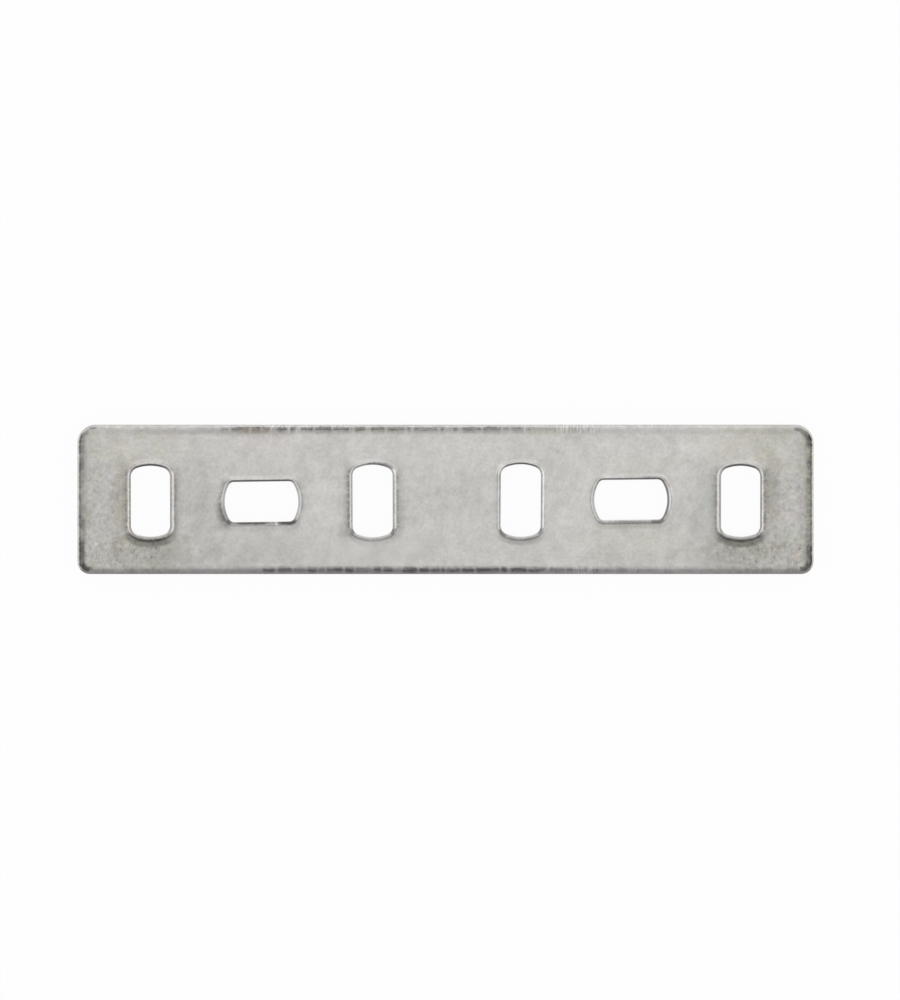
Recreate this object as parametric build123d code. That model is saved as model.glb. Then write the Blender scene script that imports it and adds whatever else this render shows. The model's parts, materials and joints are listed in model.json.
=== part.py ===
from build123d import *
import os

# Mending plate: a cropped length of plated steel strip with six punched slots.
# It lies on its back face, so its origin is the middle of that face.
# X runs along the strip, Y across it, and Z up towards the face that the punches entered.

# Sizes of the strip, in millimetres like all sizes here
plate_length = 100.0
plate_width = 20.3
plate_thickness = 2.0
far_corner_radius = 2.5
near_corner_radius = 1.7

# Sizes of one slot: straight sides, ends flatter than half circles, and rounded corners
slot_length = 9.8
slot_width = 5.4
slot_end_radius = 5.6
slot_corner_radius = 1.3

# Places of the slots, measured to their middles and mirrored about the middle of the strip
end_margin = 10.0
middle_gap = 20.0
slots_per_half = 3
row_offset = -0.25

# Punched edges at the upper face: a wide shallow roll that ends in a small round crown
outline_roll_width = 1.5
outline_roll_depth = 0.12
outline_crown_radius = 0.4
slot_roll_width = 1.1
slot_roll_depth = 0.1
slot_crown_radius = 0.45

# Punched edges at the back face, where the metal tears: shares of the strip's thickness
break_out_share = 0.4
die_clearance_share = 0.06

# Two heights closer than this are one height
height_tolerance = 0.001


def strip_outline():
    """The strip seen from above, with its two far corners rounder than its near ones."""
    outline = Rectangle(plate_length, plate_width)
    outline = fillet(outline.vertices().group_by(Axis.Y)[-1], far_corner_radius)
    return fillet(outline.vertices().group_by(Axis.Y)[0], near_corner_radius)


def slot_outline():
    """One slot along X: a rectangle whose short ends are cut to arcs, with its corners rounded."""
    arc_middle = slot_length / 2 - slot_end_radius
    outline = Rectangle(slot_length, slot_width)
    outline &= Pos(arc_middle, 0) * Circle(slot_end_radius)
    outline &= Pos(-arc_middle, 0) * Circle(slot_end_radius)
    return fillet(outline.vertices(), slot_corner_radius)


def slot_places():
    """Where the slots go: evenly spaced on each half, and every second one lies along the strip."""
    innermost = middle_gap / 2
    outermost = plate_length / 2 - end_margin
    pitch = (outermost - innermost) / (slots_per_half - 1)
    places = []
    for side in (-1, 1):
        for step in range(slots_per_half):
            across = step % 2 == 0
            turn = 90 if across else 0
            places.append(Pos(side * (innermost + step * pitch), row_offset) * Rot(0, 0, turn))
    return places


def punched_strip():
    """The flat strip with its slots, before its edges get their form."""
    plan = strip_outline()
    for place in slot_places():
        plan -= place * slot_outline()
    return extrude(plan, plate_thickness)


def upper_face(plate):
    return plate.faces().sort_by(Axis.Z)[-1]


def back_face(plate):
    return plate.faces().sort_by(Axis.Z)[0]


def roll_over(plate, rim, width, depth, crown_radius):
    """Draws the upper face down towards a rim, and rounds the crown where it meets the wall."""
    plate = chamfer(rim, length=width, length2=depth, reference=upper_face(plate))
    crown_height = plate_thickness - depth
    crown = plate.edges().filter_by_position(
        Axis.Z, crown_height - height_tolerance, crown_height + height_tolerance
    )
    return fillet(crown, crown_radius)


def roll_outline(plate):
    """Rolls the strip's own edge. The roll is no wider than the tightest corner that it follows."""
    rim = upper_face(plate).outer_wire().edges()
    width = min(outline_roll_width, far_corner_radius, near_corner_radius)
    return roll_over(plate, rim, width, outline_roll_depth, outline_crown_radius)


def roll_slots(plate):
    """Rolls the edge of every slot."""
    rim = ShapeList()
    for wire in upper_face(plate).inner_wires():
        rim += wire.edges()
    return roll_over(plate, rim, slot_roll_width, slot_roll_depth, slot_crown_radius)


def break_out(plate):
    """Tapers the torn lower part of every wall, so that slots widen and the strip narrows there."""
    back = back_face(plate)
    return chamfer(
        back.edges(),
        length=die_clearance_share * plate_thickness,
        length2=break_out_share * plate_thickness,
        reference=back,
    )


mending_plate = punched_strip()
mending_plate = roll_outline(mending_plate)
mending_plate = roll_slots(mending_plate)
mending_plate = break_out(mending_plate)

os.makedirs("parts", exist_ok=True)
export_step(mending_plate, "parts/mending_plate.step")
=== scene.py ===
import json
import math

import bpy
import numpy as np
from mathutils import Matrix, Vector, geometry, noise


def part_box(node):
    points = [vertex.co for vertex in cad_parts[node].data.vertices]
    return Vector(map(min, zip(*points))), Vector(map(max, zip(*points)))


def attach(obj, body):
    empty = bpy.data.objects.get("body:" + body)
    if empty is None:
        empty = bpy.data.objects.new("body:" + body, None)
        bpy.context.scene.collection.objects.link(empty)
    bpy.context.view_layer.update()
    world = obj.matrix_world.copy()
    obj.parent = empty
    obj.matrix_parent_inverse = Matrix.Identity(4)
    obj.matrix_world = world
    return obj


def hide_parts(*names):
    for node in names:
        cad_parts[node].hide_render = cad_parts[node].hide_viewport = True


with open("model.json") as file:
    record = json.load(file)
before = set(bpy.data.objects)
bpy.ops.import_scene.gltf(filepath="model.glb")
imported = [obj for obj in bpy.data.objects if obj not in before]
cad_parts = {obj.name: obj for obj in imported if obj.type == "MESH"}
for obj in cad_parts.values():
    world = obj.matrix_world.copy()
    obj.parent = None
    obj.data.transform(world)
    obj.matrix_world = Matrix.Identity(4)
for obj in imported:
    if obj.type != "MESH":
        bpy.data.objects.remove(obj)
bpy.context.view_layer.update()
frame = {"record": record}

# The plate is worked out in millimetres and stored in metres.
MM = 0.001

# The photograph's frame, and where the plate lies in it, in pixels
PHOTO_WIDTH = 900
PHOTO_HEIGHT = 1000
PLATE_LEFT = 77.2
PLATE_RIGHT = 813.8
PLATE_TOP = 424.55
PLATE_BOTTOM = 574.2

# The strip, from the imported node
plate_low, plate_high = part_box("mending_plate")
LENGTH = (plate_high.x - plate_low.x) / MM
WIDTH = (plate_high.y - plate_low.y) / MM
THICKNESS = (plate_high.z - plate_low.z) / MM
FAR_CORNER = 2.5
NEAR_CORNER = 1.7

# The slots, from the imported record's mounts
slot_mounts = [m for m in frame["record"]["mounts"] if m["name"].endswith("_slot")]
SLOT_HALF_WIDTH = slot_mounts[0]["dims"]["hole_r_mm"]
SLOT_HALF_LENGTH = slot_mounts[0]["dims"]["slot_length_mm"] / 2

# How each stroke of the punch landed: its shift in X and Y, its turn in degrees, how much tighter
# the opening came out, how much longer each end, its corner radius and its end radius. Then come
# values for its left, right, near and far sides: how hard the metal was drawn down, how dark the
# painted shade on the sheared wall is, how strong the crown's painted highlight and shade are, and
# how deep the painted shade beyond the crown is.
STROKES = {
    "outer_left_slot": (
        (-0.1, -0.01), 0.1, 0.035, -0.05, 1.3, 5.6,
        (0.88, 1.2, 1.2, 1.15), (0.0, 0.0, 0.0, 1.1), (1.2, 0.95, 1.0, 0.0), (1.1, 0.95, 0.97, 0.0),
    ),
    "long_left_slot": (
        (0.0, -0.07), 0.8, -0.03, 0.07, 0.7, 4.8,
        (1.0, 1.0, 1.0, 1.0), (0.0, 0.0, 0.3, 1.0), (0.2, 0.4, 0.2, 0.0), (1.4, 0.6, 0.15, 0.0),
    ),
    "inner_left_slot": (
        (0.1, 0.03), 0.2, -0.02, 0.0, 1.1, 5.3,
        (0.85, 1.1, 1.0, 1.0), (0.0, 0.0, 0.0, 0.65), (0.6, 0.9, 1.0, 0.0), (1.4, 0.8, 0.1, 0.0),
    ),
    "inner_right_slot": (
        (0.23, 0.1), -0.4, -0.02, 0.0, 1.2, 5.4,
        (0.95, 1.0, 0.95, 0.95), (0.1, 0.0, 0.0, 1.05), (0.35, 1.1, 0.6, 0.0), (0.1, 0.0, 0.6, 0.0),
    ),
    "long_right_slot": (
        (0.17, 0.2), 0.65, -0.02, 0.04, 0.75, 4.6,
        (1.0, 1.1, 1.0, 1.0), (0.0, 0.7, 0.0, 0.82), (0.25, 0.0, 1.3, 0.0), (0.0, 0.0, 0.35, 0.0),
    ),
    "outer_right_slot": (
        (0.1, -0.01), -0.1, 0.035, -0.05, 1.3, 5.6,
        (1.2, 0.88, 1.2, 1.15), (0.0, 0.0, 0.0, 1.1), (0.95, 1.2, 1.0, 0.0), (0.92, 1.2, 1.03, 0.0),
    ),
}

# The edges' sections: a wide shallow roll, an elliptic crown, a land and a torn taper
SLOT_ROLL_WIDTH = 1.5
SLOT_ROLL_DEPTH = 0.08
SLOT_CROWN_WIDTH = 0.6
SLOT_CROWN_DEPTH = 0.7
SIDE_ROLL_WIDTH = 1.6
SIDE_ROLL_DEPTH = 0.1
END_ROLL_WIDTH = 2.2
END_ROLL_DEPTH = 0.17
SIDE_CROWN_WIDTH = 0.65
END_CROWN_WIDTH = 0.45
EDGE_CROWN_DEPTH = 0.5
TEAR_HEIGHT = 0.8
TEAR_DEPTH = 0.12

# How uneven they are, as a share or in mm, then the length of a wave in mm and its seed
UNEVEN_ROLL = (0.25, 5.0, 3.1)
UNEVEN_TEAR = (0.25, 1.3, 7.7)
UNEVEN_TAPER = (0.025, 0.45, 11.3)

# How much deeper the roll is on a slot's near side, and shallower on its far side
NEAR_SIDE_GAIN = 0.3

# Spacing of the mesh
EDGE_SPACING = 0.3
SLOT_SPACING = 0.2
FACE_SPACING = 0.33
BACK_SPACING = 1.6

# The rings that follow an edge: how far they reach over the upper face and over the back, their
# number over the roll and over the crown, their places down the land and down the torn taper, and
# where the taper stops being rough
EDGE_RING_REACH = 1.3
SLOT_RING_REACH = 1.7
BACK_RING_REACH = 0.35
ROLL_RINGS = 6
CROWN_RINGS = 10
LAND_SHARES = (0.5, 1.0)
TAPER_SHARES = (0.3, 0.65, 0.93, 1.0)
SMOOTH_FROM_SHARE = 0.93

# How far the points between the rings stay off them, as a share of their spacing, how far past
# the rings a triangle's middle may lie, and the distance below which two points are one
GRID_CLEARANCE = 0.55
RING_TOLERANCE = 0.02
MERGE_DISTANCE = 1e-6

# Where the strip's edge counts as a long side, between 0 for an end and 1
SIDE_FACING = (0.4, 0.9)


def smooth_step(low, high, value):
    t = np.clip((value - low) / (high - low), 0.0, 1.0)
    return t * t * (3.0 - 2.0 * t)


def strip_arcs():
    """The strip's outline as its four rounded corners, near right first."""
    x, y = LENGTH / 2, WIDTH / 2
    quarter = math.pi / 2
    return [
        ((x - NEAR_CORNER, NEAR_CORNER - y), NEAR_CORNER, -quarter, quarter),
        ((x - FAR_CORNER, y - FAR_CORNER), FAR_CORNER, 0.0, quarter),
        ((FAR_CORNER - x, y - FAR_CORNER), FAR_CORNER, quarter, quarter),
        ((NEAR_CORNER - x, NEAR_CORNER - y), NEAR_CORNER, 2 * quarter, quarter),
    ]


def trace(arcs, spacing):
    """Points round a closed outline, with the outward direction at each."""
    points, outward = [], []
    for (middle, radius, first, turn), after in zip(arcs, arcs[1:] + arcs[:1]):
        steps = max(4, round(turn * radius / spacing))
        for step in range(steps + 1):
            angle = first + turn * step / steps
            way = np.array([math.cos(angle), math.sin(angle)])
            place = np.array(middle) + radius * way
            if step < steps:
                points.append(place)
                outward.append(way)
        next_start = np.array(after[0]) + after[1] * np.array([math.cos(after[2]), math.sin(after[2])])
        run = next_start - place
        run_length = float(np.hypot(*run))
        if run_length > spacing / 4:
            pieces = max(1, round(run_length / spacing))
            for piece in range(pieces):
                points.append(place + run * piece / pieces)
                outward.append(way)
    return np.array(points), np.array(outward)


class Slot:
    """One punched slot, where its stroke landed."""

    def __init__(self, mount):
        stroke = STROKES[mount["name"]]
        shift, turn, self.tighter, longer, self.corner, self.end_radius = stroke[:6]
        # The draw, then weights of painted light: shade on the sheared wall, the crown's highlight and shade,
        # and shade beyond the crown
        self.draw, self.line, self.shine, self.rim_shade = stroke[6:]
        self.middle = np.array(mount["pos_m"][:2]) / MM + shift
        if not mount["name"].startswith("long"):
            turn += 90
        self.along = np.array([math.cos(math.radians(turn)), math.sin(math.radians(turn))])
        self.across = np.array([-self.along[1], self.along[0]])
        # The middles of an end's arc and of a rounded corner, which touches the side and the end
        self.arc_middle = SLOT_HALF_LENGTH + longer - self.end_radius
        self.corner_up = SLOT_HALF_WIDTH - self.corner
        reach = math.sqrt((self.end_radius - self.corner) ** 2 - self.corner_up ** 2)
        self.corner_along = self.arc_middle + reach

    def arcs(self):
        """The slot's outline along X as arcs (middle, radius, first angle, turn)."""
        end, along, up = self.arc_middle, self.corner_along, self.corner_up
        lean = math.atan2(up, along - end)
        quarter = math.pi / 2
        return [
            ((end, 0.0), self.end_radius, -lean, 2 * lean),
            ((along, up), self.corner, lean, quarter - lean),
            ((-along, up), self.corner, quarter, quarter - lean),
            ((-end, 0.0), self.end_radius, math.pi - lean, 2 * lean),
            ((-along, -up), self.corner, math.pi + lean, quarter - lean),
            ((along, -up), self.corner, 3 * quarter, quarter - lean),
        ]

    def outline(self):
        points, outward = trace(self.arcs(), SLOT_SPACING)
        points = points - outward * self.tighter
        turned = points[:, :1] * self.along + points[:, 1:] * self.across
        away = outward[:, :1] * self.along + outward[:, 1:] * self.across
        return turned + self.middle, away

    def distance(self, x, y):
        """Distance from this slot's wall, positive in the metal."""
        dx, dy = x - self.middle[0], y - self.middle[1]
        u = np.abs(dx * self.along[0] + dy * self.along[1])
        v = np.abs(dx * self.across[0] + dy * self.across[1])
        past_end = np.hypot(u - self.arc_middle, v) - (self.end_radius - self.corner)
        lean = self.corner_up / (self.corner_along - self.arc_middle)
        at_corner = (u > self.corner_along) & (v > lean * (u - self.arc_middle))
        from_corner = np.hypot(u - self.corner_along, v - self.corner_up)
        core = np.where(at_corner, from_corner, np.maximum(v - self.corner_up, past_end))
        return core - self.corner + self.tighter


SLOTS = [Slot(mount) for mount in slot_mounts]


def slot_distance(x, y):
    """Distance from the nearest slot's wall, positive in the metal."""
    return np.min([slot.distance(x, y) for slot in SLOTS], axis=0)


def slot_side(x, y, values):
    """One of the four values given for each slot's sides, blended round the nearest slot."""
    nearest = np.argmin([slot.distance(x, y) for slot in SLOTS], axis=0)
    left, right, near, far = np.array(values)[nearest].T
    face_x = facing(slot_distance, x, y, along_x=True)
    face_y = facing(slot_distance, x, y)
    ends = np.where(face_x > 0, left, right) * face_x ** 2
    sides = np.where(face_y > 0, near, far) * face_y ** 2
    return (ends + sides) / np.maximum(face_x ** 2 + face_y ** 2, 0.01)


def slot_draw(x, y):
    """How hard the metal was drawn down on this side of the nearest slot."""
    return slot_side(x, y, [slot.draw for slot in SLOTS])


def edge_distance(x, y):
    """Distance from the strip's own edge, positive in the metal."""
    corner = np.where(y > 0, FAR_CORNER, NEAR_CORNER)
    u = np.abs(x) - LENGTH / 2 + corner
    v = np.abs(y) - WIDTH / 2 + corner
    outside = np.hypot(np.maximum(u, 0), np.maximum(v, 0))
    return corner - outside - np.minimum(np.maximum(u, v), 0)


def facing(distance, x, y, along_x=False):
    """How far the nearest wall faces +Y (1), an end (0) or -Y (-1), or the same along X."""
    step = 0.02
    dx, dy = (step, 0.0) if along_x else (0.0, step)
    return np.clip((distance(x - dx, y - dy) - distance(x + dx, y + dy)) / (2 * step), -1, 1)


def wander(x, y, gain, wave, seed):
    """A slow random value about 0 at each point."""
    return gain * np.array([noise.noise(Vector((a / wave, b / wave, seed))) for a, b in zip(x, y)])


def section_drop(distance, roll_width, roll_depth, crown_width, crown_depth):
    """How far the upper face lies below its flat level, at a distance from a wall."""
    roll = roll_depth * np.clip(1 - distance / roll_width, 0, 1) ** 2
    reach = np.clip(1 - distance / crown_width, 0, 1)
    crown = crown_depth * (1 - np.sqrt(np.clip(1 - reach ** 2, 0, 1)))
    return roll + crown


def face_height(x, y):
    """Height of the upper face, rolls and crowns included."""
    uneven = 1 + wander(x, y, *UNEVEN_ROLL)
    draw = slot_draw(x, y)
    deeper = 1 + NEAR_SIDE_GAIN * facing(slot_distance, x, y)
    drop = section_drop(
        slot_distance(x, y), SLOT_ROLL_WIDTH * draw, SLOT_ROLL_DEPTH * draw ** 2 * uneven * deeper,
        SLOT_CROWN_WIDTH * draw, SLOT_CROWN_DEPTH * draw,
    )
    at_side = smooth_step(*SIDE_FACING, np.abs(facing(edge_distance, x, y)))
    roll_width = END_ROLL_WIDTH + (SIDE_ROLL_WIDTH - END_ROLL_WIDTH) * at_side
    roll_depth = END_ROLL_DEPTH + (SIDE_ROLL_DEPTH - END_ROLL_DEPTH) * at_side
    crown_width = END_CROWN_WIDTH + (SIDE_CROWN_WIDTH - END_CROWN_WIDTH) * at_side
    drop += section_drop(
        edge_distance(x, y), roll_width, roll_depth * uneven, crown_width, EDGE_CROWN_DEPTH
    )
    return THICKNESS - drop


def crown_distances(width):
    """Distances from a wall at even turns of the crown, from its outer side to the wall."""
    angles = np.linspace(0, math.pi / 2, CROWN_RINGS)
    return width * (1 - np.sin(angles))


class PlateMesh:
    """Collects the vertices and faces of the plate's mesh."""

    def __init__(self):
        self.points = []
        self.faces = []
        self.count = 0

    def add(self, x, y, z):
        first = self.count
        self.points.append(np.column_stack([x, y, z]))
        self.count += len(x)
        return np.arange(first, self.count)

    def band(self, ring, following, flip):
        """Joins two rings of as many points with a band of quads."""
        quads = np.column_stack([ring, np.roll(ring, -1), np.roll(following, -1), following])
        if flip:
            quads = quads[:, ::-1]
        self.faces.extend(quads.tolist())

    def fill(self, loops, margins, spacing, height, face_up):
        """Fills the metal between closed rings with triangles, on a grid of points."""
        all_points = np.vstack(self.points)
        flat, edges, known = [], [], []
        for ring in loops:
            start = len(flat)
            flat.extend(all_points[ring, :2])
            known.extend(ring)
            size = len(ring)
            edges.extend((start + k, start + (k + 1) % size) for k in range(size))
        rows = np.arange(-WIDTH / 2, WIDTH / 2, spacing * math.sqrt(3) / 2)
        columns = np.arange(-LENGTH / 2, LENGTH / 2, spacing)
        grid_x, grid_y = np.meshgrid(columns, rows)
        grid_x = grid_x + (np.arange(len(rows)) % 2)[:, None] * spacing / 2
        grid_x, grid_y = grid_x.ravel(), grid_y.ravel()
        kept = self.in_metal(grid_x, grid_y, margins, spacing * GRID_CLEARANCE)
        grid_x, grid_y = grid_x[kept], grid_y[kept]
        known.extend(self.add(grid_x, grid_y, height(grid_x, grid_y)))
        flat.extend(np.column_stack([grid_x, grid_y]))
        result = geometry.delaunay_2d_cdt([Vector(p) for p in flat], edges, [], 0, MERGE_DISTANCE)
        corners, triangles, origins = result[0], result[2], result[3]
        back = [known[o[0]] for o in origins]
        middle = np.array([[sum(corners[i][k] for i in t) / 3 for k in (0, 1)] for t in triangles])
        inside = self.in_metal(*middle.T, margins, -RING_TOLERANCE)
        for triangle, keep in zip(triangles, inside):
            if keep:
                face = [back[i] for i in triangle]
                self.faces.append(face if face_up else face[::-1])

    def in_metal(self, x, y, margins, clear):
        """Which points lie further than the rings from the outline and from every slot."""
        kept = edge_distance(x, y) > margins[0] + clear
        for slot, margin in zip(SLOTS, margins[1:]):
            kept &= slot.distance(x, y) > margin + clear
        return kept


def edge_rings(mesh, points, inward, crown_width, reach, flip):
    """Rings from the flat of the upper face, over the crown, down the wall and on to the back."""
    rings = []
    roll = np.linspace(reach, crown_width, ROLL_RINGS, endpoint=False)
    for distance in [*roll, *crown_distances(crown_width)]:
        x, y = (points + inward * distance).T
        rings.append(mesh.add(x, y, face_height(x, y)))
    x, y = points.T
    wall_top = face_height(x, y)
    tear_top = TEAR_HEIGHT * (1 + wander(x, y, *UNEVEN_TEAR))
    for share in LAND_SHARES:
        rings.append(mesh.add(x, y, wall_top + (tear_top - wall_top) * share))
    roughness, wave, seed = UNEVEN_TAPER
    for share in TAPER_SHARES:
        rough = wander(x, y, roughness, wave, seed + share) * (share < SMOOTH_FROM_SHARE)
        depth = TEAR_DEPTH * share + rough
        px, py = (points + inward * depth[:, None]).T
        z = tear_top * (1 - share)
        rings.append(mesh.add(px, py, z))
    back_reach = TEAR_DEPTH + BACK_RING_REACH
    px, py = (points + inward * back_reach).T
    rings.append(mesh.add(px, py, np.zeros(len(x))))
    for ring, following in zip(rings, rings[1:]):
        mesh.band(ring, following, flip)
    return rings[0], rings[-1], reach, back_reach


def plate_mesh():
    """The plate as one closed mesh with its rolls, crowns, lands and torn tapers."""
    mesh = PlateMesh()
    points, outward = trace(strip_arcs(), EDGE_SPACING)
    borders = [edge_rings(mesh, points, -outward, SIDE_CROWN_WIDTH, EDGE_RING_REACH, True)]
    for slot in SLOTS:
        points, away = slot.outline()
        crown_width = SLOT_CROWN_WIDTH * max(slot.draw)
        borders.append(edge_rings(mesh, points, away, crown_width, SLOT_RING_REACH, False))
    tops, backs, top_margins, back_margins = zip(*borders)
    mesh.fill(tops, top_margins, FACE_SPACING, face_height, True)
    mesh.fill(backs, back_margins, BACK_SPACING, lambda x, y: np.zeros(len(x)), False)
    return mesh


def build_plate():
    """The plate's object, with what its material reads stored at each vertex."""
    mesh = plate_mesh()
    points = np.vstack(mesh.points)
    x, y = points[:, 0], points[:, 1]
    data = bpy.data.meshes.new("plate_steel")
    data.from_pydata((points * MM).tolist(), [], mesh.faces)
    data.validate()
    fields = {
        "slot_distance": slot_distance(x, y),
        "slot_facing": facing(slot_distance, x, y),
        "slot_draw": slot_draw(x, y),
        # Weights of painted light round the slots: shade on the sheared wall, the crown's highlight and
        # shade, and shade beyond the crown
        "slot_wall_shade_weight": slot_side(x, y, [slot.line for slot in SLOTS]),
        "slot_shine": slot_side(x, y, [slot.shine for slot in SLOTS]),
        "slot_rim_shade_weight": slot_side(x, y, [slot.rim_shade for slot in SLOTS]),
        "edge_distance": edge_distance(x, y),
        "edge_facing": facing(edge_distance, x, y),
    }
    for name, values in fields.items():
        layer = data.attributes.new(name, "FLOAT", "POINT")
        layer.data.foreach_set("value", values.astype(np.float32))
    data.polygons.foreach_set("use_smooth", np.ones(len(data.polygons), bool))
    plate = bpy.data.objects.new("plate_steel", data)
    bpy.context.scene.collection.objects.link(plate)
    return plate


# How the drawn curves and marks behave: the least and the most a curve may give, how far from a
# wall the rims reach, into how many zones the dashes are split, how a dash eases in and out, in mm
# and as a share of its length, and how soft a blot's border is
CURVE_LIMITS = (-2.0, 4.0)
RIM_REACH = 2.2
DASH_ZONES = 4
DASH_EASE = 0.22
DASH_EASE_SHARE = 0.4
BLOT_SOFTNESS = 0.35


class Nodes:
    """Short ways to add and join shader nodes."""

    def __init__(self, tree):
        self.tree = tree
        tree.nodes.clear()

    def add(self, kind, inputs=None, **settings):
        node = self.tree.nodes.new(kind)
        for key, value in settings.items():
            setattr(node, key, value)
        for key, value in (inputs or {}).items():
            if isinstance(value, bpy.types.NodeSocket):
                self.tree.links.new(value, node.inputs[key])
            else:
                node.inputs[key].default_value = value
        return node

    def math(self, operation, a, b=0.0, clamp=False):
        return self.add("ShaderNodeMath", {0: a, 1: b}, operation=operation, use_clamp=clamp).outputs[0]

    def product(self, *values):
        result = values[0]
        for value in values[1:]:
            result = self.math("MULTIPLY", result, value)
        return result

    def total(self, *values):
        result = values[0]
        for value in values[1:]:
            result = self.math("ADD", result, value)
        return result

    def swing(self, speckle, *gains):
        """How far a speckle lies from its middle, times the gains."""
        return self.product(self.math("SUBTRACT", speckle, 0.5), *gains)

    def left_by(self, depth):
        """The share of the tone that a mark of this depth leaves."""
        return self.math("SUBTRACT", 1.0, depth, True)

    def vector(self, operation, a, b):
        return self.add("ShaderNodeVectorMath", {0: a, 1: b}, operation=operation).outputs[0]

    def ramp(self, value, low, high, out_low=0.0, out_high=1.0):
        """A smooth step of a value from low to high."""
        node = self.add(
            "ShaderNodeMapRange",
            {"Value": value, "From Min": low, "From Max": high, "To Min": out_low, "To Max": out_high},
            interpolation_type="SMOOTHSTEP",
        )
        return node.outputs["Result"]

    def speckle(self, place, scale, detail, stretch=(1.0, 1.0, 1.0), roughness=0.5):
        """Noise about 0.5 at each place, with `scale` blotches to the millimetre."""
        moved = self.vector("MULTIPLY", place, stretch)
        node = self.add(
            "ShaderNodeTexNoise",
            {"Vector": moved, "Scale": scale, "Detail": detail, "Roughness": roughness},
        )
        return node.outputs["Fac"]

    def curve(self, value, stops, low, high, handles="AUTO_CLAMPED"):
        """A curve through (place, result) stops, for a value from low to high."""
        share = self.add("ShaderNodeMapRange", {"Value": value, "From Min": low, "From Max": high})
        node = self.add("ShaderNodeFloatCurve", {"Value": share.outputs["Result"]})
        line = node.mapping.curves[0]
        node.mapping.clip_min_y, node.mapping.clip_max_y = CURVE_LIMITS
        node.mapping.extend = "HORIZONTAL"
        for k, (position, result) in enumerate(stops):
            location = ((position - low) / (high - low), result)
            point = line.points[k] if k < 2 else line.points.new(*location)
            point.location = location
        for point in line.points:
            point.handle_type = handles
        node.mapping.update()
        return node.outputs[0]

    def dashes(self, along, marks):
        """Depth along the strip, where each mark gives its start, its end and its depth.

        A curve's table holds few steps, so each zone of the strip has a curve of its own.
        """
        parts = []
        zone = LENGTH / DASH_ZONES
        for k in range(DASH_ZONES):
            low = k * zone - LENGTH / 2
            stops = [(low, 0.0)]
            for start, end, depth in marks:
                ease = min(DASH_EASE, DASH_EASE_SHARE * (end - start))
                if low <= start < low + zone:
                    stops += [(start, 0.0), (start + ease, depth), (end - ease, depth), (end, 0.0)]
            stops.append((low + zone, 0.0))
            parts.append(self.curve(along, stops, low, low + zone, "VECTOR"))
        return self.total(*parts)

    def blots(self, place, ragged, marks):
        """The depth of the deepest mark at a place, from (middle, reach, depth) marks."""
        deepest = 0.0
        for middle, reach, depth in marks:
            mark = self.product(self.oval(place, ragged, middle, reach, BLOT_SOFTNESS), depth)
            deepest = self.math("MAXIMUM", deepest, mark)
        return deepest

    def rim(self, distance, stops):
        """A smooth curve over the first few millimetres from a wall."""
        return self.curve(distance, stops, 0.0, RIM_REACH)

    def weigh(self, weight, tone):
        """A tone whose difference from 1 is scaled by a weight."""
        return self.math("ADD", 1.0, self.product(weight, self.math("SUBTRACT", tone, 1.0)))

    def blend(self, share, a, b):
        """a where share is 0, b where it is 1."""
        return self.add("ShaderNodeMix", {0: share, 2: a, 3: b}, data_type="FLOAT").outputs[0]

    def attribute(self, name):
        return self.add("ShaderNodeAttribute", attribute_name=name).outputs["Fac"]

    def colour_node(self, blend, share, a, b):
        """A mix of two colours. A Mix node takes them as inputs 6 and 7 and gives output 2."""
        node = self.add("ShaderNodeMix", {"Factor": share}, data_type="RGBA", blend_type=blend)
        for socket, value in ((node.inputs[6], a), (node.inputs[7], b)):
            if isinstance(value, bpy.types.NodeSocket):
                self.tree.links.new(value, socket)
            else:
                socket.default_value = (*value, 1.0)
        return node.outputs[2]

    def mix(self, share, a, b):
        return self.colour_node("MIX", share, a, b)

    def stain(self, share, colour, tint):
        """The colour multiplied by a tint where share is 1."""
        return self.colour_node("MULTIPLY", share, colour, tint)

    def turned(self, place, angle):
        """A place turned about Z."""
        inputs = {"Vector": place, "Angle": angle}
        return self.add("ShaderNodeVectorRotate", inputs, rotation_type="Z_AXIS").outputs[0]

    def oval(self, place, ragged, middle, reach, soft, turn=0.0):
        """1 inside an oval round a place and 0 outside it, with a soft ragged edge."""
        moved = self.vector("SUBTRACT", place, (*middle, 0.0))
        if turn:
            moved = self.turned(moved, -turn)
        scaled = self.vector("MULTIPLY", moved, (1 / reach[0], 1 / reach[1], 0.0))
        length = self.add("ShaderNodeVectorMath", {0: scaled}, operation="LENGTH").outputs["Value"]
        return self.ramp(self.math("ADD", length, ragged), 1 + soft, 1 - soft)


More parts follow.
